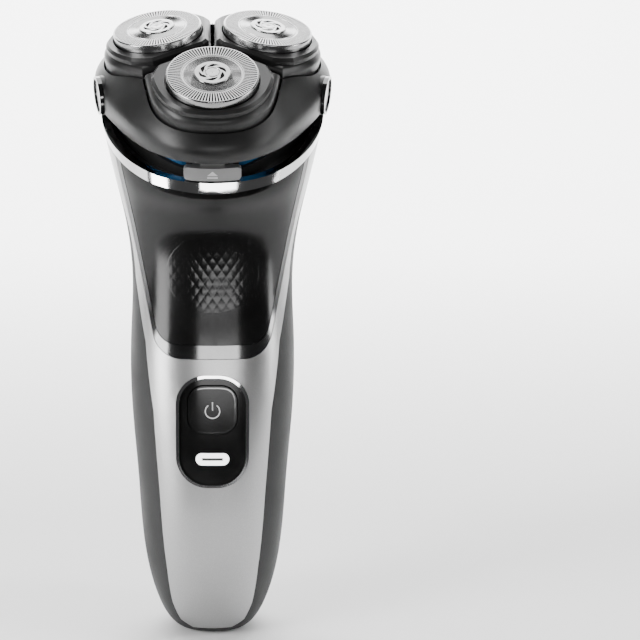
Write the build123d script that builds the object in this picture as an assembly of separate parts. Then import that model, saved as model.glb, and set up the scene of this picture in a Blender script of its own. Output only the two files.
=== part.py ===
from build123d import *
import os
from math import cos, hypot, pi, radians, sin

os.makedirs("parts", exist_ok=True)

# Rotary electric shaver standing upright. Millimetres, +Z up, front towards -Y,
# origin in the middle of the flat base.

# ---- handle -------------------------------------------------------------
WALL = 1.8
SEAM = 0.15
FULLNESS = 0.62
NECK_FULLNESS = 0.565
COVER_BOTTOM = 2.1

# Stations up the handle: height, centre y, forward lean, half width,
# depth to the front, depth to the back, width share taken by the front cover.
STATIONS = [
    (0.0, 0.0, 0.0, 8.4, 7.6, 8.2, 0.30),
    (1.4, 0.0, 0.0, 10.8, 10.2, 10.8, 0.42),
    (4.4, 0.0, 0.0, 13.1, 12.6, 13.2, 0.65),
    (9.6, 0.0, 0.0, 15.4, 14.7, 15.4, 0.69),
    (20.0, 0.0, 0.0, 18.0, 16.8, 17.4, 0.67),
    (42.0, 0.0, 0.0, 20.0, 18.4, 18.4, 0.695),
    (63.0, 0.0, 0.0, 21.6, 18.7, 18.2, 0.71),
    (81.0, 0.0, 0.0, 21.7, 18.0, 17.5, 0.80),
    (97.0, 0.0, 1.0, 21.2, 17.0, 17.8, 0.95),
    (109.3, 0.3, 7.0, 22.4, 18.4, 21.4, 0.965),
    (121.5, 1.0, 16.5, 25.0, 23.4, 25.8, 0.98),
    (129.4, 1.6, 22.5, 26.8, 28.3, 28.5, 0.985),
    (137.37, 2.4, 27.8, 28.5, 31.2, 31.0, 0.985),
    (142.7, -0.4, 27.8, 29.3, 33.0, 31.8, 0.985),
]
FLOOR_STATION = (3.0, 0.0, 0.0, 11.6, 11.0, 11.6, 0.5)

# ---- front panel, window and power button -------------------------------
PANEL_TOP = 145.0
PANEL_TOP_HALF = 26.7
PANEL_LOW = 86.0
PANEL_LOW_HALF = 14.7
PANEL_BOTTOM = 81.0
TRIM_SIDE = 1.1
TRIM_BOTTOM = 77.4
PANEL_CORNER = 5.5
WINDOW_Z = 58.3
WINDOW_HALF = 9.4
WINDOW_HEIGHT = 29.8
WINDOW_CORNER = 8.0
RIM_WIDTH = 0.75
BUTTON_Z = 64.1
BUTTON_SIZE = 12.6
BUTTON_CORNER = 4.2
BUTTON_TRAVEL = 0.6
LAMP_Z = 51.0
LAMP_LENGTH = 8.6
LAMP_HEIGHT = 3.2

# ---- shaving unit: its own frame leans forward over the neck --------------
UNIT_Y = -8.0
UNIT_Z = 157.1
UNIT_LEAN = 27.8
UNIT = Plane(
    origin=(0, UNIT_Y, UNIT_Z),
    x_dir=(1, 0, 0),
    z_dir=(0, -sin(radians(UNIT_LEAN)), cos(radians(UNIT_LEAN))),
)
DISC_TILT = 8.2
DISC_CIRCLE = 16.5
GUARD_R = 11.45
RING_TOP = -22.3
COLLAR_FRONT = 31.2
COLLAR_SIDE = -20.0
RING_H = 2.35
RING_T = 2.0
DECK_TOP = -24.0
DECK_T = 2.2
HINGE_Y = 27.6
HINGE_Z = -20.0
HINGE_R = 2.0
PIN_R = 0.9
FIT = 0.05

# ---- drive train ----------------------------------------------------------
MODULE = 0.6
GEAR_TEETH = 28
PINION_TEETH = 24
GEAR_CIRCLE = MODULE * (GEAR_TEETH + PINION_TEETH) / 2
GEAR_TOP = -26.9
GEAR_T = 2.4
SPINDLE_R = 2.2
AXLE_R = 1.0
PLATE_TOP = -30.0
PLATE_T = 1.4
MOTOR_R = 9.0
MOTOR_LENGTH = 14.5

DISC_ANGLES = {"front": -90.0, "right": 30.0, "left": 150.0}


def save(name, shape):
    export_step(shape, f"parts/{name}.step")
    print(name, len(shape.solids()), round(shape.volume, 1))


def in_unit(shape):
    """Move a piece drawn in the shaving unit's own frame to its place on the shaver."""
    return UNIT.location * shape


def outline(half_width, front, back, fullness=NECK_FULLNESS):
    """Closed egg-shaped section from four quarter curves; fullness shapes the front half."""
    k = fullness
    q = FULLNESS
    w, f, b = half_width, front, back
    edges = [
        Bezier((0, -f), (k * w, -f), (w, -k * f), (w, 0)),
        Bezier((w, 0), (w, q * b), (q * w, b), (0, b)),
        Bezier((0, b), (-q * w, b), (-w, q * b), (-w, 0)),
        Bezier((-w, 0), (-w, -k * f), (-k * w, -f), (0, -f)),
    ]
    return make_face(edges)


def collar_cut(drop):
    """Everything above the collar line, which is low at the front and rises to the sides."""
    profile = make_face(
        Polyline(
            (-60, RING_TOP - drop - 3.4),
            (-COLLAR_FRONT, RING_TOP - drop),
            (-27.5, RING_TOP - drop),
            (-8, COLLAR_SIDE - drop - 0.4),
            (-2, COLLAR_SIDE - drop),
            (6, COLLAR_SIDE - drop),
            (12, COLLAR_SIDE - drop - 0.5),
            (25.0, RING_TOP - drop),
            (60, RING_TOP - drop),
            (60, 20),
            (-60, 20),
            close=True,
        )
    )
    return in_unit(Pos(-60, 0, 0) * extrude(Plane.YZ * profile, 120))


def station_plane(station):
    z, y, lean = station[:3]
    a = radians(lean)
    return Plane(origin=(0, y, z), x_dir=(1, 0, 0), z_dir=(0, -sin(a), cos(a)))


def body(stations, inset):
    """Handle volume through the stations, drawn in by a constant inset."""
    faces = []
    for s in stations:
        rise = min(max((s[0] - 81.0) / 48.0, 0), 1)
        fullness = FULLNESS + (NECK_FULLNESS - FULLNESS) * rise
        section = outline(s[3] - inset, s[4] - inset, s[5] - inset, fullness)
        faces.append(station_plane(s) * section)
    return loft(faces)


def cover_wedge(grow):
    """Volume in front of the seam between the front cover and the grip shell."""
    faces = []
    low = (COVER_BOTTOM - grow, 0.0, 0.0, 11.5, 10.9, 11.5, 0.45)
    for s in [low] + STATIONS[2:]:
        share = s[6]
        x = share * s[3]
        y = -s[4] * (1 - share**2.23) ** (1 / 2.23)
        length = hypot(x, y)
        shift_x = -y / length * grow
        shift_y = x / length * grow
        x2 = 2 * x + shift_x
        y2 = 2 * y + shift_y
        points = [(0, grow), (x2, y2), (x2, -90), (-x2, -90), (-x2, y2)]
        faces.append(station_plane(s) * make_face(Polyline(*points, close=True)))
    return loft(faces, ruled=True)


def front_prism(sketch):
    """Push a sketch drawn in the front view through the front half of the handle."""
    return extrude(Plane.XZ * sketch, 60)


def panel_sketch(grow_side, bottom, corner):
    half_low = PANEL_LOW_HALF + grow_side
    half_top = PANEL_TOP_HALF + grow_side
    slope = (half_top - half_low) / (PANEL_TOP - PANEL_LOW)
    half_bottom = half_low - slope * (PANEL_LOW - bottom)
    face = make_face(
        Polyline(
            (-half_bottom, bottom),
            (half_bottom, bottom),
            (half_top, PANEL_TOP),
            (-half_top, PANEL_TOP),
            close=True,
        )
    )
    low_corners = face.vertices().group_by(Axis.Y)[0]
    return fillet(low_corners, radius=corner)


def squircle(width, height, corner, z):
    return Pos(0, z) * RectangleRounded(width, height, corner)


def tri_outline(mean, lobe, z, steps=24):
    """Three-lobed outline about the unit axis with a lobe under each shaving head."""
    points = []
    for i in range(steps):
        a = 2 * pi * i / steps
        r = mean + lobe * cos(3 * (a + pi / 2))
        points.append((r * cos(a), r * sin(a)))
    return Pos(0, 0, z) * make_face(Spline(*points, periodic=True))


def neck_outline(inset, z):
    """Neck outline at the height of the deck."""
    return Pos(0, 0, z) * outline(27.5 - inset, 28.9 - inset, 29.5 - inset)


def ring_outline(inset, z):
    """Neck outline at the top of the collar."""
    return Pos(0, 0, z) * outline(28.5 - inset, 31.2 - inset, 31.0 - inset)


def gear_face(teeth, phase_deg):
    """Straight-flanked spur gear outline with a tooth centred on the given direction."""
    pitch_r = MODULE * teeth / 2
    tip = pitch_r + MODULE
    root = pitch_r - 1.25 * MODULE
    step = 360 / teeth
    points = []
    for i in range(teeth):
        middle = phase_deg + i * step
        for share, r in ((-0.31, root), (-0.10, tip), (0.10, tip), (0.31, root)):
            a = radians(middle + share * step)
            points.append((r * cos(a), r * sin(a)))
    return make_face(Polyline(*points, close=True))


def at_disc(shape, angle):
    """Place a piece drawn round a shaving head's own axis at its place on the unit."""
    tilt = Rot(DISC_TILT, 0, 0)
    place = Pos(0, -DISC_CIRCLE, 0)
    return in_unit(Rot(0, 0, angle + 90) * (place * (tilt * shape)))


# ==== handle shells ========================================================
outer = body(STATIONS, 0)
inner = body([FLOOR_STATION] + STATIONS[2:], WALL)
shell = outer - inner
shell -= collar_cut(RING_H + 0.1)

wedge = cover_wedge(0)
trim_prism = front_prism(panel_sketch(TRIM_SIDE, TRIM_BOTTOM, PANEL_CORNER + 1.5))
trim_opening = front_prism(panel_sketch(TRIM_SIDE + SEAM, TRIM_BOTTOM - SEAM, PANEL_CORNER + 1.6))
panel_prism = front_prism(panel_sketch(0, PANEL_BOTTOM, PANEL_CORNER))
panel_opening = front_prism(panel_sketch(SEAM, PANEL_BOTTOM - SEAM, PANEL_CORNER))
window_prism = front_prism(squircle(2 * WINDOW_HALF, WINDOW_HEIGHT, WINDOW_CORNER, WINDOW_Z))
window_opening = front_prism(
    squircle(2 * (WINDOW_HALF + 0.1), WINDOW_HEIGHT + 0.2, WINDOW_CORNER + 0.1, WINDOW_Z)
)

# socket in the base for the charging plug
SOCKET_W = 8.2
SOCKET_D = 5.2
SOCKET_WALL = 0.8
SOCKET_DEPTH = 8.0
SOCKET_Y = 4.2
SOCKET_CORNER = 1.8
hole_w = SOCKET_W + 2 * SOCKET_WALL + 0.1
hole_d = SOCKET_D + 2 * SOCKET_WALL + 0.1
socket_hole = Pos(0, SOCKET_Y) * RectangleRounded(hole_w, hole_d, SOCKET_CORNER + SOCKET_WALL)

rear_shell = shell - cover_wedge(SEAM) - Pos(0, 0, -1) * extrude(socket_hole, 8)
save("rear_shell", rear_shell)

front_cover = (shell & wedge) - trim_opening - window_opening
save("front_cover", front_cover)

panel_trim = (shell & trim_prism & wedge) - panel_opening
save("panel_trim", panel_trim)

front_panel = shell & panel_prism & wedge
save("front_panel", front_panel)

# ==== window, power button and lamp ========================================
window_stations = STATIONS[4:9]
face_04 = body(window_stations, 0.4)
face_24 = body(window_stations, 2.4)

window_inner = squircle(
    2 * (WINDOW_HALF - RIM_WIDTH), WINDOW_HEIGHT - 2 * RIM_WIDTH, WINDOW_CORNER - RIM_WIDTH, WINDOW_Z
)
window_rim = (body(window_stations, -0.25) & window_prism) - front_prism(window_inner) - inner
save("window_rim", window_rim)

button_hole = squircle(BUTTON_SIZE + 0.5, BUTTON_SIZE + 0.5, BUTTON_CORNER + 0.25, BUTTON_Z)
lamp_hole = Pos(0, LAMP_Z) * SlotOverall(LAMP_LENGTH + 0.1, LAMP_HEIGHT + 0.1)
window_fill = squircle(
    2 * (WINDOW_HALF - RIM_WIDTH - 0.05),
    WINDOW_HEIGHT - 2 * RIM_WIDTH - 0.1,
    WINDOW_CORNER - RIM_WIDTH,
    WINDOW_Z,
)
window_panel = (face_04 - face_24) & front_prism(window_fill)
window_panel -= front_prism(button_hole) + front_prism(lamp_hole)
save("window_panel", window_panel)

BUTTON_BACK = -15.7
button_block = Pos(0, (BUTTON_BACK - 30) / 2, BUTTON_Z) * Box(20, BUTTON_BACK + 30, 20)
button_core = front_prism(squircle(BUTTON_SIZE, BUTTON_SIZE, BUTTON_CORNER, BUTTON_Z))
power_button = body(window_stations, -0.15) & button_core & button_block
save("power_button", power_button)

indicator_lens = (face_04 - face_24) & front_prism(Pos(0, LAMP_Z) * SlotOverall(LAMP_LENGTH, LAMP_HEIGHT))
save("indicator_lens", indicator_lens)

MEMBRANE_Y = -15.0
membrane = Pos(0, MEMBRANE_Y + 0.3, BUTTON_Z) * Box(15.0, 0.6, 15.5)
save("button_membrane", membrane)

# ==== electronics ==========================================================
BOARD_Y = -12.0
BOARD_T = 1.2
BOARD_LOW = 30.0
BOARD_HIGH = 84.0
board = Pos(0, BOARD_Y + BOARD_T / 2, (BOARD_LOW + BOARD_HIGH) / 2)
circuit_board = board * Box(21.0, BOARD_T, BOARD_HIGH - BOARD_LOW)
save("circuit_board", circuit_board)

switch_body = Pos(0, BOARD_Y - 0.85, BUTTON_Z) * Box(6.0, 1.7, 6.0)
switch_plunger = Pos(0, BOARD_Y - 1.95, BUTTON_Z) * Rot(90, 0, 0) * Cylinder(1.6, 0.6)
save("tact_switch", switch_body + switch_plunger)

indicator_led = Pos(0, BOARD_Y - 0.5, LAMP_Z) * Box(3.2, 1.0, 1.6)
save("indicator_led", indicator_led)

CHASSIS_HALF = 12.9
CHASSIS_FRONT = -10.7
CHASSIS_BACK = 10.8
CHASSIS_LOW = 26.0
CHASSIS_HIGH = 88.0
CHASSIS_WALL = 1.4
chassis_depth = CHASSIS_BACK - CHASSIS_FRONT
chassis_mid = (CHASSIS_BACK + CHASSIS_FRONT) / 2
chassis_plan = Pos(0, chassis_mid) * Rectangle(2 * CHASSIS_HALF, chassis_depth)
chassis_plan = fillet(chassis_plan.vertices().group_by(Axis.Y)[-1], radius=4.5)
cavity_plan = Pos(0, chassis_mid - CHASSIS_WALL) * Rectangle(
    2 * (CHASSIS_HALF - CHASSIS_WALL), chassis_depth
)
cavity_plan = fillet(cavity_plan.vertices().group_by(Axis.Y)[-1], radius=3.1)
chassis = Pos(0, 0, CHASSIS_LOW) * extrude(chassis_plan, CHASSIS_HIGH - CHASSIS_LOW)
chassis -= Pos(0, 0, CHASSIS_LOW + CHASSIS_WALL) * extrude(
    cavity_plan, CHASSIS_HIGH - CHASSIS_LOW - 2 * CHASSIS_WALL
)

CELL_R = 7.1
CELL_Y = 1.9
CELL_LOW = 29.0
CELL_LENGTH = 50.0
cell_axis = Pos(0, CELL_Y, 0)
for z in (36.0, 70.0):
    saddle = Pos(0, 3.0, z) * Box(2 * CHASSIS_HALF - 1.0, 14.8, 1.6)
    chassis += saddle - cell_axis * Pos(0, 0, z) * Cylinder(CELL_R + 0.1, 4)
save("chassis", chassis)

battery_cell = cell_axis * Pos(0, 0, CELL_LOW + CELL_LENGTH / 2) * Cylinder(CELL_R, CELL_LENGTH)
battery_cell += cell_axis * Pos(0, 0, CELL_LOW + CELL_LENGTH + 0.4) * Cylinder(2.6, 0.8)
save("battery_cell", battery_cell)

low_tab = Pos(0, -3.4, CELL_LOW - 0.2) * Box(5.0, 14.4, 0.3)
high_tab = Pos(0, -3.4, CELL_LOW + CELL_LENGTH + 1.0) * Box(5.0, 14.4, 0.3)
save("battery_tabs", Compound([low_tab, high_tab]))

# charging socket in the base
SOCKET_LIP = 0.3
socket_plan = RectangleRounded(hole_w - 0.1, hole_d - 0.1, SOCKET_CORNER + SOCKET_WALL - 0.1)
socket_body = extrude(socket_plan, SOCKET_DEPTH + 2)
socket_bore = extrude(RectangleRounded(SOCKET_W, SOCKET_D, SOCKET_CORNER), SOCKET_DEPTH)
charge_socket = Pos(0, SOCKET_Y, SOCKET_LIP) * (socket_body - socket_bore)
PIN_SPACING = 4.6
PIN_TIP = 4.7
PIN_END = 13.3
pins = []
for side in (-1, 1):
    pin_spot = Pos(side * PIN_SPACING / 2, SOCKET_Y, (PIN_TIP + PIN_END) / 2)
    charge_socket -= pin_spot * Cylinder(0.62, PIN_END - PIN_TIP)
    pins.append(pin_spot * Cylinder(0.6, PIN_END - PIN_TIP))
save("charge_socket", charge_socket)
save("charge_pins", Compound(pins))

# ==== collar, deck and hair chamber =========================================
ring_bore = extrude(ring_outline(RING_T, RING_TOP - 10), 24)
collar_ring = (outer & collar_cut(RING_H)) - collar_cut(0) - in_unit(ring_bore)
save("collar_ring", collar_ring)

CHAMBER_R = 24.3
CHAMBER_LOBE = 1.5
CHAMBER_T = 1.2
CHAMBER_TOP = -13.8
CHAMBER_FLAT = -24.0
FLOOR_T = 1.0
POST_CIRCLE = 17.0
POST_ANGLES = (90.0, -30.0, -150.0)

DECK_FIT = 0.25
SEAL_FIT = 0.05
neck_stations = [FLOOR_STATION] + STATIONS[2:]
deck_space = UNIT.location.inverse() * body(neck_stations, WALL + DECK_FIT)
seal_space = UNIT.location.inverse() * body(neck_stations, WALL + SEAL_FIT)
deck = extrude(neck_outline(1.2, DECK_TOP - DECK_T), DECK_T) & deck_space
groove_low = DECK_TOP - 1.7
deck -= extrude(neck_outline(0.5, groove_low), 1.0) - extrude(neck_outline(4.4, groove_low), 1.0)

# rim round the hair chamber, lower at the front where the chamber shows
RIM_T = 0.8
rim_out = extrude(tri_outline(CHAMBER_R + 0.15 + RIM_T, CHAMBER_LOBE, DECK_TOP), 8.0)
rim_in = extrude(tri_outline(CHAMBER_R + 0.15, CHAMBER_LOBE, DECK_TOP), 8.0)
rim_out -= Pos(0, CHAMBER_FLAT - 1.4 - 10, -20) * Box(60, 20, 20)
rim_in -= Pos(0, CHAMBER_FLAT - 0.15 - 10, -20) * Box(60, 20, 20)
rim = rim_out - rim_in
slope_cut = make_face(
    Polyline(
        (-40, -21.8), (-26, -21.8), (-21, -20.6), (-15, -18.2), (-8, -17.9), (40, -17.9),
        (40, 0), (-40, 0), close=True,
    )
)
rim -= Pos(-40, 0, 0) * extrude(Plane.YZ * slope_cut, 80)
deck += rim

# block that carries the release button's spring and guides
BLOCK_FRONT = -26.4
block = Pos(0, (BLOCK_FRONT + CHAMBER_FLAT - 0.15) / 2, -21.3) * Box(
    13.0, CHAMBER_FLAT - 0.15 - BLOCK_FRONT, 5.4
)
GUIDE_X = 4.6
GUIDE_Z = -20.3
GUIDE_R = 0.75
for side in (-1, 1):
    block -= Pos(side * GUIDE_X, -25, GUIDE_Z) * Rot(90, 0, 0) * Cylinder(GUIDE_R + 0.08, 12)
deck += block

LUG_IN = 4.2
LUG_OUT = 8.2
for side in (-1, 1):
    x = side * (LUG_IN + LUG_OUT) / 2
    lug = Pos(x, HINGE_Y, HINGE_Z) * Rot(0, 90, 0) * Cylinder(HINGE_R, LUG_OUT - LUG_IN)
    foot_depth = 26.9 - (HINGE_Y - HINGE_R)
    foot = Pos(x, HINGE_Y - HINGE_R + foot_depth / 2, -22.2) * Box(LUG_OUT - LUG_IN, foot_depth, 4.4)
    deck += lug + foot
deck -= Pos(0, HINGE_Y, HINGE_Z) * Rot(0, 90, 0) * Cylinder(PIN_R + 0.02, 40)

for angle in DISC_ANGLES.values():
    a = radians(angle)
    deck -= Pos(GEAR_CIRCLE * cos(a), GEAR_CIRCLE * sin(a), -25) * Cylinder(SPINDLE_R + 0.35, 12)
for angle in POST_ANGLES:
    a = radians(angle)
    spot = Pos(POST_CIRCLE * cos(a), POST_CIRCLE * sin(a), 0)
    post_h = DECK_TOP - DECK_T - PLATE_TOP
    deck += spot * Pos(0, 0, PLATE_TOP + post_h / 2) * Cylinder(2.2, post_h)
    deck -= spot * Pos(0, 0, PLATE_TOP + 1.6) * Cylinder(0.85, 4.4)
save("drive_deck", in_unit(deck))

seal = extrude(neck_outline(0.5, groove_low + 0.05), 0.9) & seal_space
seal -= extrude(neck_outline(4.35, groove_low), 1.0)
save("deck_seal", in_unit(seal))

chamber_low = DECK_TOP + 0.1
chamber = extrude(tri_outline(CHAMBER_R, CHAMBER_LOBE, chamber_low), CHAMBER_TOP - chamber_low)
chamber -= Pos(0, CHAMBER_FLAT - 10, -20) * Box(60, 20, 20)
hollow = extrude(tri_outline(CHAMBER_R - CHAMBER_T, CHAMBER_LOBE, chamber_low + FLOOR_T), 20)
hollow -= Pos(0, CHAMBER_FLAT + CHAMBER_T - 10, -20) * Box(60, 20, 60)
chamber -= hollow
for angle in DISC_ANGLES.values():
    a = radians(angle)
    spot = Pos(GEAR_CIRCLE * cos(a), GEAR_CIRCLE * sin(a), 0)
    chamber += spot * Pos(0, 0, chamber_low + 2.0) * Cylinder(3.9, 4.0)
    chamber -= spot * Pos(0, 0, chamber_low + 2.0) * Cylinder(SPINDLE_R + 0.5, 8.0)
save("hair_chamber", in_unit(chamber))

# ==== release button ========================================================
TAB_FRONT = -30.9
TAB_BACK = -28.6
TAB_HALF = 7.1
TAB_LOW = -21.9
TAB_HIGH = -18.3
TAB_CORNER = 1.1
tab_plan = outline(28.4, 30.95, 31.0)
tab = Pos(0, 0, TAB_LOW) * extrude(tab_plan, TAB_HIGH - TAB_LOW)
tab_face = RectangleRounded(2 * TAB_HALF, TAB_HIGH - TAB_LOW, TAB_CORNER)
tab &= Pos(0, TAB_BACK, (TAB_LOW + TAB_HIGH) / 2) * extrude(Plane.XZ * tab_face, 10)
tab += Pos(0, TAB_BACK - 0.5, TAB_HIGH + 1.2) * Box(6.0, 0.9, 3.0)
for side in (-1, 1):
    tab += Pos(side * GUIDE_X, TAB_BACK + 1.4, GUIDE_Z) * Rot(90, 0, 0) * Cylinder(GUIDE_R, 3.2)
save("release_button", in_unit(tab))

SPRING_R = 1.1
WIRE = 0.26
spring_length = BLOCK_FRONT - TAB_BACK - WIRE
coil = Helix(pitch=spring_length / 3.5, height=spring_length, radius=SPRING_R)
coil_start = Plane(origin=coil @ 0, z_dir=coil % 0)
release_spring = sweep(coil_start * Circle(WIRE / 2), path=coil)
release_spring = Pos(0, BLOCK_FRONT - WIRE / 2, GUIDE_Z) * (Rot(90, 0, 0) * release_spring)
save("release_spring", in_unit(release_spring))

# ==== motor and gears =======================================================
plate = Pos(0, 0, PLATE_TOP - PLATE_T / 2) * Cylinder(19.4, PLATE_T)
plate -= Pos(0, 0, PLATE_TOP) * Cylinder(3.2, 6)
axles = []
screws = []
for angle in POST_ANGLES:
    a = radians(angle)
    spot = Pos(POST_CIRCLE * cos(a), POST_CIRCLE * sin(a), 0)
    plate -= spot * Pos(0, 0, PLATE_TOP) * Cylinder(1.05, 6)
    head = Pos(0, 0, PLATE_TOP - PLATE_T - 0.6) * Cylinder(1.8, 1.2)
    recess = Pos(0, 0, PLATE_TOP - PLATE_T - 1.2) * (Box(2.2, 0.5, 1.2) + Box(0.5, 2.2, 1.2))
    shank = Pos(0, 0, PLATE_TOP + 0.6) * Cylinder(0.8, 5.0)
    screws.append(spot * (head + shank - recess))
for angle in DISC_ANGLES.values():
    a = radians(angle)
    spot = Pos(GEAR_CIRCLE * cos(a), GEAR_CIRCLE * sin(a), 0)
    plate -= spot * Pos(0, 0, PLATE_TOP) * Cylinder(AXLE_R, 6)
    axles.append(spot * Pos(0, 0, (PLATE_TOP - PLATE_T - 12.0) / 2) * Cylinder(AXLE_R, 19.4))
save("motor_plate", in_unit(plate))
save("plate_screws", in_unit(Compound(screws)))
save("gear_axles", in_unit(Compound(axles)))

motor_top = PLATE_TOP - PLATE_T - 0.05
motor = Pos(0, 0, motor_top - MOTOR_LENGTH / 2) * Cylinder(MOTOR_R, MOTOR_LENGTH)
motor = chamfer(motor.edges().filter_by(GeomType.CIRCLE), length=0.8)
motor += Pos(0, 0, motor_top + 0.6) * Cylinder(3.1, 1.2)
motor -= Pos(0, 0, motor_top) * Cylinder(1.0, 12)
for side in (-1, 1):
    motor += Pos(side * 5.0, 0, motor_top - MOTOR_LENGTH - 1.0) * Box(1.6, 0.4, 2.4)
save("motor", in_unit(motor))

motor_shaft = Pos(0, 0, (motor_top - 5.5 + GEAR_TOP + 0.3) / 2) * Cylinder(
    0.95, GEAR_TOP + 0.3 - motor_top + 5.5
)
save("motor_shaft", in_unit(motor_shaft))

pinion = extrude(gear_face(PINION_TEETH, DISC_ANGLES["front"]), GEAR_T)
pinion -= Cylinder(0.95, 20)
save("motor_pinion", in_unit(Pos(0, 0, GEAR_TOP - GEAR_T) * pinion))

# spindle: shaft with a tapered six-sided tip that drops into a cutter carrier
TIP_TOP = -5.4
TIP_BASE = -7.5
shaft = Pos(0, 0, GEAR_TOP - GEAR_T) * extrude(Circle(SPINDLE_R), TIP_BASE - GEAR_TOP + GEAR_T)
tip = loft(
    [Pos(0, 0, TIP_BASE) * RegularPolygon(2.85, 6), Pos(0, 0, TIP_TOP) * RegularPolygon(1.75, 6)]
)
flange = Pos(0, 0, GEAR_TOP + 0.2) * Cylinder(3.4, 0.4)
spindle = shaft + tip + flange - Pos(0, 0, -21) * Cylinder(AXLE_R + FIT, 18.4)

for name, angle in DISC_ANGLES.items():
    a = radians(angle)
    spot = Pos(GEAR_CIRCLE * cos(a), GEAR_CIRCLE * sin(a), 0)
    step = 360 / PINION_TEETH
    turn = (angle - DISC_ANGLES["front"]) / step
    share = round(turn) - turn
    phase = angle + 180 - (share + 0.5) * 360 / GEAR_TEETH
    gear = Pos(0, 0, GEAR_TOP - GEAR_T) * extrude(gear_face(GEAR_TEETH, phase), GEAR_T)
    gear -= Pos(0, 0, GEAR_TOP) * Cylinder(SPINDLE_R + 0.02, 12)
    save(f"drive_gear_{name}", in_unit(spot * gear))
    save(f"spindle_{name}", in_unit(spot * spindle))

# ==== shaving unit: head holder =============================================
HOLDER_R = 30.0
HOLDER_LOBE = 2.6
HOLDER_T = 1.9
# height and width share of the holder's outside, from its lower edge up over the dome
HOLDER_RISE = [
    (-21.0, 0.962),
    (-17.0, 0.988),
    (-13.6, 1.0),
    (-11.6, 0.982),
    (-9.6, 0.927),
    (-7.4, 0.85),
    (-5.4, 0.765),
    (-4.0, 0.69),
]


def dome(drop, inset):
    faces = []
    for z, share in HOLDER_RISE:
        faces.append(tri_outline(HOLDER_R * share - inset, HOLDER_LOBE * share, z - drop))
    return faces


holder_body = loft(dome(0, 0))
holder = holder_body - loft(dome(HOLDER_T * 0.7, HOLDER_T))

# arch of the lower edge: high at the front, low at the sides
arch = make_face(
    Polyline(
        (-50, -30), (-50, -15.7), (-33, -16.0), (-28, -16.4), (-17, -17.5), (-8, -17.6),
        (8, -17.6), (20, -19.4), (50, -19.9), (50, -30), close=True,
    )
)
holder -= Pos(-50, 0, 0) * extrude(Plane.YZ * arch, 100)

# notch for the hinge lugs, knuckle for the pin
holder -= Pos(0, HINGE_Y, -22.4) * Box(2 * LUG_OUT + 1.0, 10, 10)
knuckle = Pos(0, HINGE_Y, HINGE_Z) * Rot(0, 90, 0) * Cylinder(HINGE_R, 2 * LUG_IN - 0.5)
web = Pos(0, 26.6, -17.8) * Box(2 * LUG_IN - 0.5, 2.0, 4.4)
holder += knuckle + web
holder -= Pos(0, HINGE_Y, HINGE_Z) * Rot(0, 90, 0) * Cylinder(PIN_R + FIT, 40)

# ==== shaving heads: tilting frame, guard, cutter ============================
FRAME_BOTTOM = -9.5
FRAME_STEP = -3.5
FRAME_TOP = -2.0
FRAME_GAP = 0.55
SECTOR_GAP = 0.46
PIVOT_Y = 3.0
PIVOT_Z = -8.3
PIVOT_R = 0.8
APEX_Y = 15.4
CORNER_X = 16.9
CORNER_Y = 5.4
FRAME_CURVE = [(16.1, 1.0), (13.6, -6.6), (8.4, -11.9)]
FRAME_NOSE = -13.9


def frame_face(grow, apex=APEX_Y):
    """Plan of one tilting frame round its own axis: two straight sides and a round nose."""
    corner = (CORNER_X + grow, CORNER_Y)
    nose = (0, FRAME_NOSE - grow)
    right = [(x + grow * 0.9, y - grow * 0.5) for x, y in FRAME_CURVE]
    left = [(-x, y) for x, y in reversed(right)]
    curve = Spline(corner, *right, nose, *left, (-corner[0], corner[1]))
    sides = [
        Line((-corner[0], corner[1]), (-1.2, apex + grow)),
        Line((-1.2, apex + grow), (1.2, apex + grow)),
        Line((1.2, apex + grow), corner),
    ]
    return make_face([curve] + sides)


base = Pos(0, 0, FRAME_BOTTOM) * extrude(frame_face(0), FRAME_STEP - FRAME_BOTTOM)
base = fillet(base.edges().group_by(Axis.Z)[-1], radius=1.9)
crown = Pos(0, 0, FRAME_STEP - 1.0) * extrude(frame_face(-1.0, APEX_Y), FRAME_TOP - FRAME_STEP + 1.0)
crown &= Pos(0, 0, FRAME_STEP) * Cylinder(15.2, 12)
crown = chamfer(crown.edges().group_by(Axis.Z)[-1], length=0.7)
frame = base + crown
sector = make_face(
    Polyline((0, -SECTOR_GAP), (86.6, -SECTOR_GAP - 50), (-86.6, -SECTOR_GAP - 50), close=True)
)
sector = Pos(0, 0, -20) * extrude(sector, 30)
frame &= Rot(-DISC_TILT, 0, 0) * Pos(0, DISC_CIRCLE, 0) * sector
frame -= Cylinder(GUARD_R + 0.35, 40)
frame -= Pos(0, 0, -14.4) * Cylinder(12.4, 20)
for side in (-1, 1):
    frame += Pos(side * 15.8, PIVOT_Y, PIVOT_Z) * Rot(0, 90, 0) * Cylinder(PIVOT_R, 5.0)
frame -= Pos(0, 0, -14.4) * Cylinder(12.4, 20)

opening = Pos(0, 0, -13) * extrude(frame_face(FRAME_GAP, APEX_Y + 3), 24)

SLOTS = 60
guard = Cylinder(GUARD_R, 4.6, align=(Align.CENTER, Align.CENTER, Align.MAX))
guard = fillet(guard.edges().group_by(Axis.Z)[-1], radius=0.35)
guard += Pos(0, 0, -4.6) * Cylinder(12.1, 0.7, align=(Align.CENTER, Align.CENTER, Align.MAX))
guard -= Pos(0, 0, -0.45) * Cylinder(11.0, 12, align=(Align.CENTER, Align.CENTER, Align.MAX))
guard += Pos(0, 0, -0.3) * Cylinder(1.25, 3.2, align=(Align.CENTER, Align.CENTER, Align.MAX))
slot = Pos(9.4, 0, 0) * Box(3.0, 0.32, 3.0)
slots = [Rot(0, 0, 360 / SLOTS * i) * slot for i in range(SLOTS)]
guard -= slots
guard -= Cylinder(7.55, 0.3) - Cylinder(7.25, 2.0)

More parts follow.
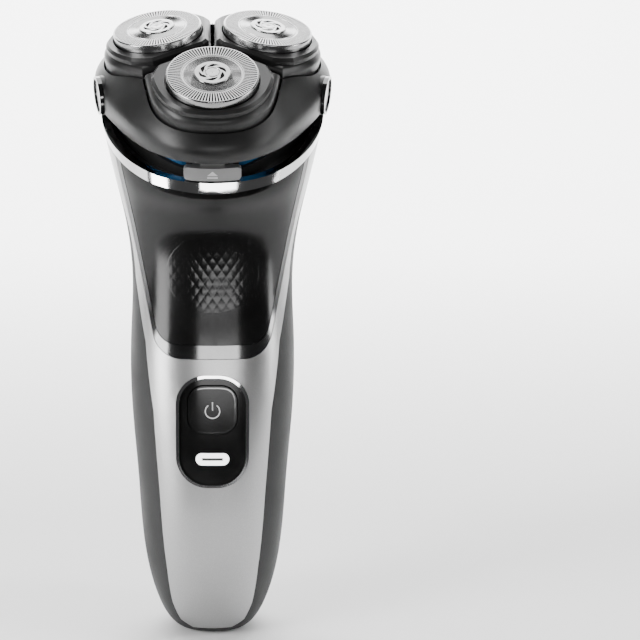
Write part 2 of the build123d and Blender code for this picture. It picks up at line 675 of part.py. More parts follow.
HUB_R = 4.5
hub = Cylinder(HUB_R, 0.45, align=(Align.CENTER, Align.CENTER, Align.MIN))
hub = fillet(hub.edges().group_by(Axis.Z)[-1], radius=0.2)
hub -= Pos(0, 0, 0.45) * (Cylinder(3.2, 0.3) - Cylinder(2.2, 2.0))
hub += Pos(0, 0, 0.2) * Cylinder(1.65, 0.7) - Pos(0, 0, 0.4) * Cylinder(1.0, 2.0)
hub &= Pos(0, 0, 0.02) * Cylinder(20, 4, align=(Align.CENTER, Align.CENTER, Align.MIN))

BLADES = 15
cutter = Pos(0, 0, -2.9) * Cylinder(10.4, 0.6)
cutter -= Pos(0, 0, -2.9) * (Cylinder(7.4, 4) - Cylinder(5.2, 4))
for i in range(5):
    cutter += Rot(0, 0, 72 * i) * Pos(6.3, 0, -2.9) * Box(2.8, 1.6, 0.6)
blade = Pos(9.0, 0, -1.75) * Box(2.6, 0.4, 1.9)
for i in range(BLADES):
    cutter += Rot(0, 0, 360 / BLADES * i) * blade
cutter -= Cylinder(1.33, 20)

carrier = Pos(0, 0, -3.25) * Cylinder(4.6, 3.75, align=(Align.CENTER, Align.CENTER, Align.MAX))
carrier -= Pos(0, 0, -3.9) * extrude(RegularPolygon(3.7, 6), -6)
carrier -= Pos(0, 0, -3.3) * Cylinder(1.6, 2.0)

retainer = Pos(0, 0, -8.9) * (Cylinder(12.35, 1.0) - Cylinder(6.0, 4))
for i in range(3):
    retainer -= Rot(0, 0, 120 * i + 30) * Pos(9.2, 0, -8.9) * Box(3.4, 7.0, 4)

bosses = []
for name, angle in DISC_ANGLES.items():
    turn = Rot(0, 0, angle + 90) * Pos(0, -DISC_CIRCLE, 0) * Rot(DISC_TILT, 0, 0)
    holder -= turn * opening
    for side in (-1, 1):
        boss = Pos(side * 18.6, PIVOT_Y, PIVOT_Z - 0.6) * Box(2.2, 3.4, 4.2)
        bosses.append((turn * boss) & holder_body)
holder += bosses
for angle in DISC_ANGLES.values():
    turn = Rot(0, 0, angle + 90) * Pos(0, -DISC_CIRCLE, 0) * Rot(DISC_TILT, 0, 0)
    holder -= turn * (Pos(0, PIVOT_Y, PIVOT_Z) * Rot(0, 90, 0) * Cylinder(PIVOT_R + FIT, 37.2))

# round badges on both sides
BADGE_R = 4.9
BADGE_X = 28.7
BADGE_Y = -1.0
BADGE_Z = -14.6
BADGE_TURN = 14.6
BADGE_T = 1.2
badges = []
badge_rings = []
for side in (-1, 1):
    turn = 90 - BADGE_TURN if side > 0 else 180 + 90 + BADGE_TURN
    at_badge = Pos(side * BADGE_X, BADGE_Y, BADGE_Z) * Rot(0, 0, turn - 90) * Rot(0, 90, 0)
    boss = at_badge * Pos(0, 0, -0.9) * Cylinder(BADGE_R + 0.1, 1.8)
    holder += boss
    holder -= at_badge * Pos(0, 0, 4.99) * Cylinder(BADGE_R + 0.5, 10)
    ring = Cylinder(BADGE_R, BADGE_T) - Cylinder(BADGE_R - 0.6, 4)
    face = Cylinder(BADGE_R - 0.65, BADGE_T - 0.4)
    badge_rings.append(at_badge * Pos(0, 0, BADGE_T / 2) * ring)
    badges.append(at_badge * Pos(0, 0, BADGE_T / 2 - 0.2) * face)
save("head_holder", in_unit(holder))
save("side_badges", in_unit(Compound(badges)))
save("badge_rings", in_unit(Compound(badge_rings)))

hinge_pin = Pos(0, HINGE_Y, HINGE_Z) * Rot(0, 90, 0) * Cylinder(PIN_R, 2 * LUG_OUT)
save("hinge_pin", in_unit(hinge_pin))

for name, angle in DISC_ANGLES.items():
    save(f"head_frame_{name}", at_disc(frame, angle))
    save(f"guard_{name}", at_disc(guard, angle))
    save(f"guard_hub_{name}", at_disc(hub, angle))
    save(f"cutter_{name}", at_disc(cutter, angle))
    save(f"cutter_carrier_{name}", at_disc(carrier, angle))
    save(f"retainer_{name}", at_disc(retainer, angle))
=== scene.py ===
import math

import bpy
import numpy as np
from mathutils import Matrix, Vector
from mathutils.bvhtree import BVHTree


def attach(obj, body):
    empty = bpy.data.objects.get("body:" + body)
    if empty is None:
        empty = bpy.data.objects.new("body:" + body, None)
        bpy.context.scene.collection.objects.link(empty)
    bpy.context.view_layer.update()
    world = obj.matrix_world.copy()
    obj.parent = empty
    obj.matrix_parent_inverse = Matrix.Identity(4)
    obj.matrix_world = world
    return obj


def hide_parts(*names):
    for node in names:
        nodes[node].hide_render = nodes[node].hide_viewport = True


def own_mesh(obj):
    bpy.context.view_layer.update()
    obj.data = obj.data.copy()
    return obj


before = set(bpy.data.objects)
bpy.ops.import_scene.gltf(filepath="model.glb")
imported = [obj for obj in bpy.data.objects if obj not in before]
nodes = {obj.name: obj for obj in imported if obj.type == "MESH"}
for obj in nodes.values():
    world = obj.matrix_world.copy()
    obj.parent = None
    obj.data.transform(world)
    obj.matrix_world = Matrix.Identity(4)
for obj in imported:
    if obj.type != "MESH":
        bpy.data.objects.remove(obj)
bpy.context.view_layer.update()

# ---- Grip shell -----------------------------------------------------------
# The rear half of the handle: a hard shell with a dark soft-touch rubber skin
# that also wraps the base. It is moulded in one and snaps to the front cover.


class Value:
    """A number that varies over a surface; arithmetic on it adds Math nodes."""

    def __init__(self, finish, socket):
        self.finish, self.socket = finish, socket

    def math(self, operation, other, swap=False):
        first, second = (other, self) if swap else (self, other)
        made = self.finish.node(
            "ShaderNodeMath", {"operation": operation}, {0: first, 1: second}
        )
        return Value(self.finish, made.outputs[0])

    def __add__(self, other):
        return self.math("ADD", other)

    def __radd__(self, other):
        return self.math("ADD", other, True)

    def __sub__(self, other):
        return self.math("SUBTRACT", other)

    def __rsub__(self, other):
        return self.math("SUBTRACT", other, True)

    def __mul__(self, other):
        return self.math("MULTIPLY", other)

    def __rmul__(self, other):
        return self.math("MULTIPLY", other, True)

    def ramp(self, low, high):
        """0 below low, 1 above high, smooth between."""
        made = self.finish.node(
            "ShaderNodeMapRange",
            {"interpolation_type": "SMOOTHSTEP"},
            {"Value": self, "From Min": low, "From Max": high},
        )
        return Value(self.finish, made.outputs[0])


class Finish:
    """One material: a Principled shader plus whatever varies over the surface."""

    def __init__(self, name, roughness, **constants):
        self.material = bpy.data.materials.new(name)
        self.material.use_nodes = True
        self.tree = self.material.node_tree
        self.shader = self.tree.nodes["Principled BSDF"]
        self.shader.inputs["Roughness"].default_value = roughness
        for key, value in constants.items():
            self.shader.inputs[key.replace("_", " ")].default_value = value

    def node(self, kind, settings=None, inputs=None):
        """Any node: its type, its settings, then a value or a link for each socket."""
        made = self.tree.nodes.new(kind)
        for key, value in (settings or {}).items():
            setattr(made, key, value)
        for key, value in (inputs or {}).items():
            if isinstance(value, Value):
                self.tree.links.new(value.socket, made.inputs[key])
            elif isinstance(value, bpy.types.NodeSocket):
                self.tree.links.new(value, made.inputs[key])
            else:
                made.inputs[key].default_value = value
        return made

    def place(self):
        """The piece's own coordinates, in metres."""
        return self.node("ShaderNodeTexCoord").outputs["Object"]

    def noise(self, scale, detail=2.0):
        inputs = {"Vector": self.place(), "Scale": scale, "Detail": detail}
        return Value(self, self.node("ShaderNodeTexNoise", {}, inputs).outputs[0])

    def cells(self, scale):
        """Distance to the nearest of points scattered over the surface."""
        inputs = {"Vector": self.place(), "Scale": scale}
        made = self.node("ShaderNodeTexVoronoi", {"feature": "F1"}, inputs)
        return Value(self, made.outputs["Distance"])

    def mark(self, name):
        """A number stored on the piece's own points."""
        made = self.node("ShaderNodeAttribute", {"attribute_name": name})
        return Value(self, made.outputs["Fac"])

    def mix(self, low, high, mask):
        """Colour that goes from low to high as the mask goes from 0 to 1."""
        made = self.node("ShaderNodeMix", {"data_type": "RGBA"}, {0: mask, 6: low, 7: high})
        return made.outputs[2]

    def feed(self, name, value):
        """Drives one of the shader's own sockets."""
        socket = value.socket if isinstance(value, Value) else value
        self.tree.links.new(socket, self.shader.inputs[name])

    def bump(self, height, distance, strength):
        made = self.node(
            "ShaderNodeBump", {}, {"Height": height, "Distance": distance, "Strength": strength}
        )
        self.feed("Normal", made.outputs[0])


def grey(level):
    return (level, level, level, 1.0)


PATCH_DETAIL, PATCH_FROM, PATCH_TO = 4.0, 0.35, 0.7


def wear(finish, clean, worn, smooth, rough, scale):
    """Slight patches of handling: the colour and the roughness drift together."""
    patches = finish.noise(scale, PATCH_DETAIL).ramp(PATCH_FROM, PATCH_TO)
    finish.feed("Base Color", finish.mix(clean, worn, patches))
    finish.feed("Roughness", patches * (rough - smooth) + smooth)


def dress(finish, *names):
    """Give CAD nodes their material."""
    for name in names:
        mesh = nodes[name].data
        mesh.materials.clear()
        mesh.materials.append(finish.material)


rubber = Finish("soft grip rubber", 0.6, Specular_IOR_Level=0.28)
wear(rubber, clean=grey(0.016), worn=grey(0.022), smooth=0.5, rough=0.62, scale=60.0)
rubber_grain = rubber.noise(2600.0, 1.0) + 0.6 * rubber.cells(1900.0)
rubber.bump(rubber_grain, distance=0.00005, strength=0.6)
dress(rubber, "rear_shell")

# ---- Front cover ------------------------------------------------------------
# Satin cover of the front, moulded in plastic and sprayed with a silver lacquer
# that holds fine metal flakes. It snaps to the grip shell.
silver = Finish("satin silver lacquer", 0.3, Metallic=0.85)
flakes = silver.cells(5200.0)
silver.feed("Base Color", silver.mix(grey(0.34), grey(0.44), flakes))
silver.feed("Roughness", 0.27 + 0.08 * silver.noise(40.0, 3.0))
silver.bump(flakes, distance=0.00001, strength=0.25)
dress(silver, "front_cover")

# ---- Thumb panel ------------------------------------------------------------
# Polished black moulding under the head, held by the trim round it. Its middle
# carries a raised diamond grain for the thumb that dies out at its edges.
GRAIN_HALF, GRAIN_LOW, GRAIN_HIGH = 12.0, 89.0, 109.5
GRAIN_CELL, GRAIN_HEIGHT = 2.3, 0.09
GRAIN_STRETCH = 1.5
GRAIN_FADE = 0.55
GRAIN_FOOT, GRAIN_SUNK = 0.004, -0.05
GRAIN_COLUMNS, GRAIN_ROWS = 151, 129
MM = 1000
BEFORE_ALL = -0.2


def new_piece(name, mesh, finish, body):
    """Finished object from a mesh, at the origin, riding on a body."""
    mesh.shade_smooth()
    mesh.materials.append(finish.material)
    made = bpy.data.objects.new(name, mesh)
    bpy.context.scene.collection.objects.link(made)
    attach(made, body)
    return made


def grid_mesh(name, grid, wrap_rows=False, wrap_cols=False):
    """Quads between neighbouring points of a rows x columns x 3 array, in metres."""
    rows, cols = grid.shape[:2]
    index = np.arange(rows * cols).reshape(rows, cols)
    if wrap_rows:
        index = np.concatenate([index, index[:1]], 0)
    if wrap_cols:
        index = np.concatenate([index, index[:, :1]], 1)
    faces = np.stack([index[:-1, :-1], index[:-1, 1:], index[1:, 1:], index[1:, :-1]], -1)
    mesh = bpy.data.meshes.new(name)
    mesh.from_pydata(grid.reshape(-1, 3).tolist(), [], faces.reshape(-1, 4).tolist())
    return mesh


def laid_on(node, x, z, lift):
    """Points x, z of the front view, in mm, carried straight back onto the front of a
    CAD node, then moved out along the surface's normal by lift, in mm."""
    cad = nodes[node]
    tree = BVHTree.FromPolygons(
        [cad.matrix_world @ v.co for v in cad.data.vertices],
        [tuple(p.vertices) for p in cad.data.polygons],
    )

    def touch(x_m, z_m):
        point, normal, _, _ = tree.ray_cast(Vector((x_m, BEFORE_ALL, z_m)), Vector((0, 1, 0)))
        return np.array([*point, *normal])

    touched = np.vectorize(touch, signature="(),()->(k)")(x / MM, z / MM)
    height = np.broadcast_to(lift, x.shape)[..., None] / MM
    return touched[..., :3] + touched[..., 3:] * height


def panel_grain():
    """Height is a foot plus a height times the root of the product of two sine waves that
    slant against each other. It fades out towards an ellipse round the middle, and beyond
    the ellipse the sheet lies sunk in the panel."""
    across, up = np.meshgrid(
        np.linspace(-GRAIN_HALF, GRAIN_HALF, GRAIN_COLUMNS),
        np.linspace(GRAIN_LOW, GRAIN_HIGH, GRAIN_ROWS),
    )
    middle = (GRAIN_LOW + GRAIN_HIGH) / 2
    share = np.hypot(across / GRAIN_HALF, (up - middle) / (GRAIN_HIGH - middle))
    fade = np.clip((1 - share) / GRAIN_FADE, 0, 1)
    wave = np.pi * across / GRAIN_CELL
    slant = np.pi * up / (GRAIN_STRETCH * GRAIN_CELL)
    diamonds = np.abs(np.sin(wave + slant)) * np.abs(np.sin(wave - slant))
    lift = np.where(fade > 0, GRAIN_FOOT, GRAIN_SUNK) + GRAIN_HEIGHT * fade * np.sqrt(diamonds)
    return grid_mesh("panel_grain", laid_on("front_panel", across, up, lift))


panel_black = Finish("polished black", 0.2, Specular_IOR_Level=0.32)
wear(panel_black, clean=grey(0.003), worn=grey(0.006), smooth=0.14, rough=0.22, scale=50.0)
dress(panel_black, "front_panel")
new_piece("panel_grain", panel_grain(), panel_black, "handle")

# ---- Plated trim ------------------------------------------------------------
# Collar ring, window rim and the bevelled strip round the thumb panel: plastic
# with a bright or a smoked plating, pressed into the handle.
chrome = Finish("bright plating", 0.08, Metallic=1.0)
wear(chrome, clean=grey(0.78), worn=grey(0.72), smooth=0.06, rough=0.12, scale=70.0)
dress(chrome, "collar_ring", "window_rim")
dark_chrome = Finish("dark plating", 0.12, Metallic=1.0)
wear(dark_chrome, clean=grey(0.12), worn=grey(0.16), smooth=0.1, rough=0.16, scale=70.0)
dress(dark_chrome, "panel_trim")

# ---- Side badges --------------------------------------------------------------
# A plain black disc on each side of the head, pressed into a smoked plated ring.
# Discs and rings sit in shallow seats of the head.
dress(panel_black, "side_badges")
dress(dark_chrome, "badge_rings")

# ---- Power button ---------------------------------------------------------------
# Black window of the cover with a rounded square button in it. The button has a
# smoked plated edge and a printed power sign, a ring open at the top and a bar.
BUTTON_Z = 64.1
EDGE_HALF, EDGE_BAND, EDGE_LIFT = 5.95, 0.3, 0.03
EDGE_POWER, EDGE_STEPS = 3.6, 96
SIGN_Z, SIGN_LIFT = 63.9, 0.02
SIGN_GAP_TO, SIGN_GAP_FROM, SIGN_STEPS = 125, 415, 49
SIGN_OUT, SIGN_IN = 2.0, 1.7
BAR_HALF, BAR_LOW, BAR_HIGH = 0.15, 0.2, 2.4
ACROSS = 3


def strip(half_low, half_high, z_low, z_high, steps=5):
    """Upright patch of the front view about the middle line, in mm: its half width goes
    from half_low at z_low to half_high at z_high."""
    rise = np.linspace(0, 1, steps)[:, None]
    share = np.linspace(-1, 1, steps)[None, :]
    half = half_low + (half_high - half_low) * rise
    return half * share, z_low + (z_high - z_low) * rise + 0 * share


def printed(name, node, points, finish, body, lift=SIGN_LIFT, closed=False):
    """Thin layer laid on a CAD node: points are x and z of the front view, in mm."""
    mesh = grid_mesh(name, laid_on(node, *points, lift), wrap_rows=closed)
    new_piece(name, mesh, finish, body)


def polar(radius, turn, z):
    """Points of the front view at a radius and an angle about the height z."""
    return radius * np.cos(turn), z + radius * np.sin(turn)


dress(panel_black, "window_panel", "power_button")
sign_ink = Finish("silver print", 0.35, Metallic=0.4)
wear(sign_ink, clean=grey(0.55), worn=grey(0.48), smooth=0.3, rough=0.42, scale=400.0)
ring_turn = np.radians(np.linspace(SIGN_GAP_TO, SIGN_GAP_FROM, SIGN_STEPS))[:, None]
ring_radius = np.linspace(SIGN_OUT, SIGN_IN, ACROSS)[None, :]
ring_points = polar(ring_radius, ring_turn, SIGN_Z)
printed("power_sign_ring", "power_button", ring_points, sign_ink, "power_button")
bar_points = strip(BAR_HALF, BAR_HALF, SIGN_Z + BAR_LOW, SIGN_Z + BAR_HIGH)
printed("power_sign_bar", "power_button", bar_points, sign_ink, "power_button")

# the edge is a rounded square: half over the root of the sum of |cos| and |sin| to a power
edge_turn = np.linspace(0, 2 * np.pi, EDGE_STEPS, endpoint=False)[:, None]
powers = np.abs(np.cos(edge_turn)) ** EDGE_POWER + np.abs(np.sin(edge_turn)) ** EDGE_POWER
edge_radius = EDGE_HALF / powers ** (1 / EDGE_POWER) - np.linspace(0, EDGE_BAND, ACROSS)[None, :]
edge_points = polar(edge_radius, edge_turn, BUTTON_Z)
printed("button_edge", "power_button", edge_points, dark_chrome, "power_button", EDGE_LIFT, True)

# ---- Lamp -------------------------------------------------------------------
# Milky lens under the button, lit from behind by a small diode on the board, with
# a dark line printed along its middle.
LAMP_LINE_HALF, LAMP_LINE_LOW, LAMP_LINE_HIGH = 2.7, 50.65, 51.35
lamp = Finish("lit lamp lens", 0.3, Emission_Strength=3.0)
lamp.feed("Emission Color", lamp.mix(grey(0.9), grey(1.0), lamp.noise(300.0)))
dress(lamp, "indicator_lens", "indicator_led")
dark_ink = Finish("dark print", 0.5)
wear(dark_ink, clean=grey(0.02), worn=grey(0.03), smooth=0.45, rough=0.55, scale=400.0)
line_points = strip(LAMP_LINE_HALF, LAMP_LINE_HALF, LAMP_LINE_LOW, LAMP_LINE_HIGH)
printed("lamp_line", "indicator_lens", line_points, dark_ink, "handle")

# ---- Head mouldings -----------------------------------------------------------
# Holder of the head, the three tilting frames in it, the deck under them and the
# socket in the base: black plastic with a fine spark-eroded grain.
sides = ("front", "left", "right")
head_black = Finish("satin black moulding", 0.4, Specular_IOR_Level=0.35)
wear(head_black, clean=grey(0.007), worn=grey(0.012), smooth=0.3, rough=0.42, scale=55.0)
head_black.bump(head_black.noise(1400.0, 2.0), distance=0.00003, strength=0.35)
dress(head_black, "head_holder", "drive_deck", "charge_socket")
dress(head_black, *("head_frame_" + side for side in sides))

# ---- Hair chamber ---------------------------------------------------------------
# Cup under the shaving heads that catches the cut hair, moulded in a slightly
# see-through blue plastic and dropped onto the deck.
CHAMBER_CLEAN, CHAMBER_WORN = (0.01, 0.07, 0.17, 1), (0.015, 0.09, 0.21, 1)
blue = Finish("blue chamber plastic", 0.18, Transmission_Weight=0.3)
wear(blue, clean=CHAMBER_CLEAN, worn=CHAMBER_WORN, smooth=0.15, rough=0.24, scale=80.0)
dress(blue, "hair_chamber")

# ---- Steel parts ------------------------------------------------------------------
# Cutters, motor, its plate and screws, the axles, the hinge pin and the contacts:
# plain turned, pressed or ground steel.
steel = Finish("turned steel", 0.22, Metallic=1.0)
wear(steel, clean=grey(0.62), worn=grey(0.7), smooth=0.18, rough=0.3, scale=200.0)
dress(steel, *("cutter_" + side for side in sides))
dress(steel, "release_spring", "motor_plate", "plate_screws", "gear_axles", "motor")
dress(steel, "motor_shaft", "hinge_pin", "battery_tabs", "charge_pins")

# ---- Plain mouldings --------------------------------------------------------------
# Gears, spindles, cutter carriers, retainers and the chassis that holds the cell:
# unpainted pale acetal, straight from the mould.
acetal = Finish("plain moulding", 0.45)
wear(acetal, clean=grey(0.7), worn=grey(0.64), smooth=0.4, rough=0.5, scale=120.0)
dress(acetal, "chassis")
for kind in ("drive_gear_", "spindle_", "cutter_carrier_", "retainer_"):
    dress(acetal, *(kind + side for side in sides))

# ---- Power and control --------------------------------------------------------
# Inside the handle: a sleeved cell, a lacquered board with its switch, the brass
# pinion of the motor, and the black rubber seal and button membrane.
SLEEVE_CLEAN, SLEEVE_WORN = (0.03, 0.16, 0.1, 1), (0.04, 0.19, 0.12, 1)
BOARD_CLEAN, BOARD_WORN = (0.01, 0.09, 0.03, 1), (0.02, 0.13, 0.05, 1)
BRASS_CLEAN, BRASS_WORN = (0.62, 0.44, 0.16, 1), (0.5, 0.35, 0.13, 1)
sleeve = Finish("cell sleeve", 0.35)
wear(sleeve, clean=SLEEVE_CLEAN, worn=SLEEVE_WORN, smooth=0.3, rough=0.42, scale=90.0)
dress(sleeve, "battery_cell")
lacquer = Finish("board lacquer", 0.3)
wear(lacquer, clean=BOARD_CLEAN, worn=BOARD_WORN, smooth=0.25, rough=0.4, scale=300.0)
dress(lacquer, "circuit_board")
brass = Finish("brass", 0.3, Metallic=1.0)
wear(brass, clean=BRASS_CLEAN, worn=BRASS_WORN, smooth=0.25, rough=0.4, scale=250.0)
dress(brass, "motor_pinion")
soft_black = Finish("moulded rubber", 0.7, Specular_IOR_Level=0.25)
wear(soft_black, clean=grey(0.012), worn=grey(0.018), smooth=0.62, rough=0.75, scale=200.0)
dress(soft_black, "deck_seal", "button_membrane", "tact_switch")

# ---- Guards -------------------------------------------------------------------
# Each shaving head has a pressed steel guard with fine radial slots round its rim,
# turned rings inside them, and a bright hub with a swirl of short slots.
LEAN, TILT, CIRCLE = math.radians(27.8), math.radians(8.2), 16.5
UNIT_Y, UNIT_Z = -8.0, 157.1
GUARD_ANGLES = {"front": -90.0, "right": 30.0, "left": 150.0}
BORE, TOP_FROM = 0.15, 4.2
RINGS_IN, RINGS_OUT, RING_PITCH, RING_DEPTH, RING_POINTS = 4.4, 7.1, 0.15, 0.018, 73
GROOVE = [(7.2, 0.0), (7.25, -0.15), (7.55, -0.15), (7.6, 0.0), (7.78, 0.0), (7.8, 0.0)]
SLOT_BAND = [(7.83, 0.0), (10.95, 0.0), (10.98, 0.0)]
EDGE = [(11.0, 0.0), (11.15, -0.02), (11.33, -0.1), (11.42, -0.22), (11.45, -0.35)]
SKIRT = [(11.45, -4.6), (12.1, -4.6), (12.1, -5.3), (11.0, -5.3)]
INSIDE = [(11.0, -0.5), (1.25, -0.5), (1.25, -3.5), (BORE, -3.5)]
SLOT_COUNT, SLOT_DEPTH = 90, 0.4
SLOT_EDGES = np.array([0.0, 0.2, 0.24, 0.76, 0.8])
SLOT_FLOOR = np.array([0.0, 0.0, 1.0, 1.0, 0.0])
HUB_IN, HUB_OUT, HUB_ROWS, HUB_STEPS, HUB_HEIGHT = 0.9, 4.3, 52, 240, 0.45
HUB_RIM = [(4.42, 0.4), (4.5, 0.28), (4.5, 0.02), (0.05, 0.02), (0.05, 0.3), (0.4, 0.4)]
PETALS, PETAL_MIDDLE, PETAL_TWIST, PETAL_DEPTH = 6, 2.8, 0.55, 0.22
PETAL_HALF_TURN, PETAL_HALF_WIDTH = 0.3, 0.55
STEP_R, STEP_HALF, STEP_DEPTH = 1.75, 0.06, 0.12
SOFT_TURN, SOFT_WIDTH = 0.06, 0.08
SHARP_ANGLE = 0.6


def turned(points, angle):
    """The last two of three coordinates turned about the first one's axis, in radians."""
    first, second, third = points
    c, s = math.cos(angle), math.sin(angle)
    return first, second * c - third * s, second * s + third * c


def from_unit(x, y, z):
    """The leaning unit's own x, y, z in mm to metres in the shared frame."""
    x, y, z = turned((x, y, z), LEAN)
    return np.stack([x, y + UNIT_Y, z + UNIT_Z], -1) / MM


def from_disc(x, y, z, degrees):
    """A head's own x, y, z in mm to metres in the shared frame."""
    x, y, z = turned((x, y, z), TILT)
    z, x, y = turned((z, x, y - CIRCLE), math.radians(degrees + 90))
    return from_unit(x, y, z)


def guard_shape():
    """Radius, height, turn and pit of the guard: a closed profile of radius and height,
    from the bore out over the top and back inside, swept round. The rings are a sine of
    the radius. The band of slots drops by the slot depth wherever a slot's floor is."""
    rings = np.linspace(RINGS_IN, RINGS_OUT, RING_POINTS)
    ring_height = RING_DEPTH * np.sin(2 * np.pi * (rings - RINGS_IN) / RING_PITCH)
    start = [(BORE, 0.0), (TOP_FROM, 0.0), *zip(rings, ring_height)]
    profile = np.array(start + GROOVE + SLOT_BAND + EDGE + SKIRT + INSIDE)
    slotted = np.zeros(len(profile))
    first = len(start) + len(GROOVE)
    slotted[first:first + len(SLOT_BAND)] = 1
    turn = (np.arange(SLOT_COUNT)[:, None] + SLOT_EDGES).reshape(1, -1) * 2 * np.pi / SLOT_COUNT
    pit = slotted[:, None] * np.tile(SLOT_FLOOR, SLOT_COUNT)
    return profile[:, :1] + 0 * turn, profile[:, 1:] - SLOT_DEPTH * pit, turn, pit


def hub_shape():
    """Radius, height, turn and pit of the hub: a flat top, less a swirl of petals, where
    turn and radius together pass a band, less a round step near the middle."""
    inner = np.linspace(HUB_IN, HUB_OUT, HUB_ROWS)[:, None]
    turn = np.linspace(0, 2 * np.pi, HUB_STEPS, endpoint=False)[None, :]
    from_middle = inner - PETAL_MIDDLE
    swirl = (PETALS * turn / (2 * np.pi) + PETAL_TWIST * from_middle) % 1.0
    petals = np.clip((PETAL_HALF_TURN - np.abs(swirl - 0.5)) / SOFT_TURN, 0, 1)
    petals = petals * np.clip((PETAL_HALF_WIDTH - np.abs(from_middle)) / SOFT_WIDTH, 0, 1)
    flat = np.clip((np.abs(inner - STEP_R) - STEP_HALF) / SOFT_WIDTH, 0, 1)
    top = HUB_HEIGHT - PETAL_DEPTH * petals - STEP_DEPTH * (1 - flat)
    rim = np.array(HUB_RIM)
    radius = np.concatenate([inner + 0 * turn, rim[:, :1] + 0 * turn])
    height = np.concatenate([top, rim[:, 1:] + 0 * turn])
    return radius, height, turn, np.concatenate([petals, 0 * rim[:, :1] * turn])


def disc_piece(kind, shape, side):
    """Piece of one head, from a closed profile that runs down the rows and is swept
    round. The pit number of each point stays on the mesh for the material, which paints
    shade into the pits."""
    radius, height, turn, pit = shape
    x, y = radius * np.cos(turn), radius * np.sin(turn)
    grid = from_disc(x, y, height, GUARD_ANGLES[side])
    mesh = grid_mesh(kind + side, grid, wrap_rows=True, wrap_cols=True)
    marks = mesh.attributes.new("pit", "FLOAT", "POINT")
    marks.data.foreach_set("value", np.ascontiguousarray(pit, dtype=np.float32).reshape(-1))
    made = new_piece(kind + side, mesh, guard_steel, "guard_body_" + side)
    mesh.set_sharp_from_angle(angle=SHARP_ANGLE)
    return made


guard_steel = Finish("slotted steel", 0.22, Specular_IOR_Level=0.08)
# painted shade: the floors of the rim slots and of the hub's swirl go near black and dull, standing in
# for the dark head seen through real slots
pit_painted_shade = guard_steel.mark("pit")
scratch = guard_steel.noise(900.0, 3.0)
guard_steel.feed("Base Color", guard_steel.mix(grey(0.34), grey(0.004), pit_painted_shade.ramp(0.05, 0.5)))
guard_steel.feed("Metallic", 1.0 - pit_painted_shade)
guard_steel.feed("Roughness", 0.16 + 0.12 * scratch + 0.4 * pit_painted_shade)

guard, hub = guard_shape(), hub_shape()
for side in GUARD_ANGLES:
    piece = disc_piece("slotted_guard_", guard, side)
    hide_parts("guard_" + side)
    piece = disc_piece("swirl_hub_", hub, side)
    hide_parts("guard_hub_" + side)

# ---- Release button -----------------------------------------------------------
# Satin grey button under the front of the head that frees it to swing open, with
# a lift sign printed on it: an arrow head over a bar.
LIFT_Z, LIFT_HALF, LIFT_TIP = 124.0, 1.3, 0.02
ARROW_LOW, ARROW_HIGH, UNDERLINE_HIGH = 0.7, 1.8, 0.4
satin_grey = Finish("satin grey lacquer", 0.35, Metallic=0.6)
wear(satin_grey, clean=grey(0.18), worn=grey(0.21), smooth=0.3, rough=0.4, scale=90.0)
dress(satin_grey, "release_button")
arrow_points = strip(LIFT_HALF, LIFT_TIP, LIFT_Z + ARROW_LOW, LIFT_Z + ARROW_HIGH)
printed("lift_sign_arrow", "release_button", arrow_points, sign_ink, "release_button")
underline_points = strip(LIFT_HALF, LIFT_HALF, LIFT_Z, LIFT_Z + UNDERLINE_HIGH)
printed("lift_sign_bar", "release_button", underline_points, sign_ink, "release_button")

# ---- Release spring -------------------------------------------------------------
# Small steel coil between the block of the deck and the back of the release button;
# the real one shortens as the button is pressed, this one is built at one fixed length.
COIL_R, WIRE_R, COIL_BACK, COIL_LENGTH, COIL_Z = 1.1, 0.12, -26.55, 1.9, -20.3
COIL_TURNS, COIL_STEPS, WIRE_STEPS = 3.5, 141, 12
COIL_TIP, COIL_SEAT, COIL_KEEP = 0.001, 0.1, 0.45


def coil_mesh():
    """A circle of the wire's radius, swept round and back along a helix; it narrows to a
    point in the first and the last step."""
    along = np.linspace(0, 1, COIL_STEPS)[:, None]
    round_wire = np.linspace(0, 2 * np.pi, WIRE_STEPS, endpoint=False)[None, :]
    wind = 2 * np.pi * COIL_TURNS * along
    wire = WIRE_R * np.clip(np.minimum(along, 1 - along) * (COIL_STEPS - 1), COIL_TIP, 1)
    reach = COIL_R + wire * np.cos(round_wire)
    back = COIL_BACK - COIL_LENGTH * along + wire * np.sin(round_wire)
    grid = from_unit(reach * np.cos(wind), back, COIL_Z + reach * np.sin(wind))
    return grid_mesh("coil_spring", grid, wrap_cols=True)


piece = new_piece("coil_spring", coil_mesh(), steel, "handle")
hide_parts("release_spring")
coil_anchor = from_unit(0.0, COIL_BACK + COIL_SEAT, COIL_Z).tolist()
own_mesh(piece)

# ---- Studio -----------------------------------------------------------------
# White paper that curves from the floor up into a wall, five soft boxes and a dim
# room round the shaver. The camera stands in front, level with the head.
PAPER_HALF, PAPER_NEAR, PAPER_FAR, PAPER_TOP, PAPER_BEND = 4.0, -0.12, 1.6, 4.0, 0.8
BEND_STEPS, PAPER_COLUMNS = 24, 3
HANDLE_MIDDLE = (0, 0, 0.09)
SHAVER_MIDDLE = (0, 0, 0.1)
SOFT_BOXES = [
    # name, place, aim, width, height, power
    ("left box", (-0.75, -0.45, 0.25), HANDLE_MIDDLE, 0.35, 0.9, 14.0),
    ("right box", (0.8, -0.2, 0.3), HANDLE_MIDDLE, 0.15, 0.9, 5.0),
    ("top box", (0.0, 0.1, 0.9), SHAVER_MIDDLE, 0.6, 0.6, 5.0),
    ("low fill", (0.08, -0.75, 0.0), SHAVER_MIDDLE, 0.5, 0.12, 1.6),
    ("wall wash", (0.0, 0.5, 1.5), (0, 1.6, 1.2), 2.5, 0.8, 260.0),
]
ROOM_COLOUR, ROOM_STRENGTH = (0.5, 0.5, 0.51, 1), 0.12
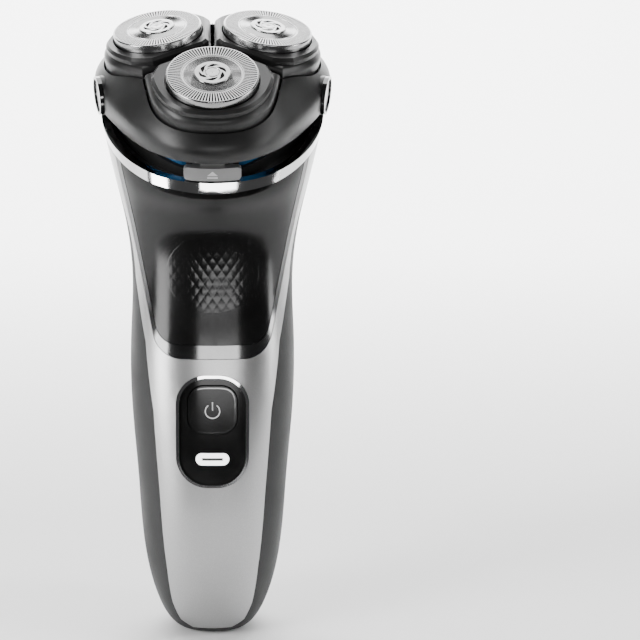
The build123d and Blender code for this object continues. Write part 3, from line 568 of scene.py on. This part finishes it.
LENS, SENSOR, SHIFT = 83.0, 36.0, 0.168
CAMERA_PLACE, CAMERA_PITCH = (0, -0.3875, 0.1527), 80


def paper_sweep():
    """Floor that curves up into a wall: straight, a quarter circle, straight."""
    turn = np.linspace(0, math.pi / 2, BEND_STEPS)
    y = np.concatenate([[PAPER_NEAR], PAPER_FAR - PAPER_BEND + PAPER_BEND * np.sin(turn), [PAPER_FAR]])
    z = np.concatenate([[0.0], PAPER_BEND - PAPER_BEND * np.cos(turn), [PAPER_TOP]])
    x = np.linspace(-PAPER_HALF, PAPER_HALF, PAPER_COLUMNS)
    grid = np.stack(np.broadcast_arrays(x[None, :], y[:, None], z[:, None]), -1)
    mesh = grid_mesh("studio_floor", grid)
    mesh.shade_smooth()
    return mesh


def soft_box(name, place, aim, width, height, power):
    """Rectangular area light at a place, facing the point it is aimed at."""
    light = bpy.data.lights.new(name, "AREA")
    light.shape, light.size, light.size_y, light.energy = "RECTANGLE", width, height, power
    box = bpy.data.objects.new(name, light)
    bpy.context.scene.collection.objects.link(box)
    box.location = place
    box.rotation_euler = (Vector(aim) - Vector(place)).to_track_quat("-Z", "Y").to_euler()


floor = bpy.data.objects.new("studio_floor", paper_sweep())
bpy.context.scene.collection.objects.link(floor)
paper = Finish("white paper", 0.9)
paper.feed("Base Color", paper.mix(grey(0.86), grey(0.9), paper.noise(3.0)))
floor.data.materials.append(paper.material)

for settings in SOFT_BOXES:
    soft_box(*settings)

world = bpy.data.worlds.new("studio")
bpy.context.scene.world = world
world.use_nodes = True
room = world.node_tree.nodes["Background"]
room.inputs["Color"].default_value = ROOM_COLOUR
room.inputs["Strength"].default_value = ROOM_STRENGTH

lens = bpy.data.cameras.new("camera")
lens.lens, lens.sensor_width = LENS, SENSOR
lens.shift_x = SHIFT
camera = bpy.data.objects.new("camera", lens)
camera.location = CAMERA_PLACE
camera.rotation_euler = (math.radians(CAMERA_PITCH), 0, 0)
bpy.context.scene.collection.objects.link(camera)
bpy.context.scene.camera = camera
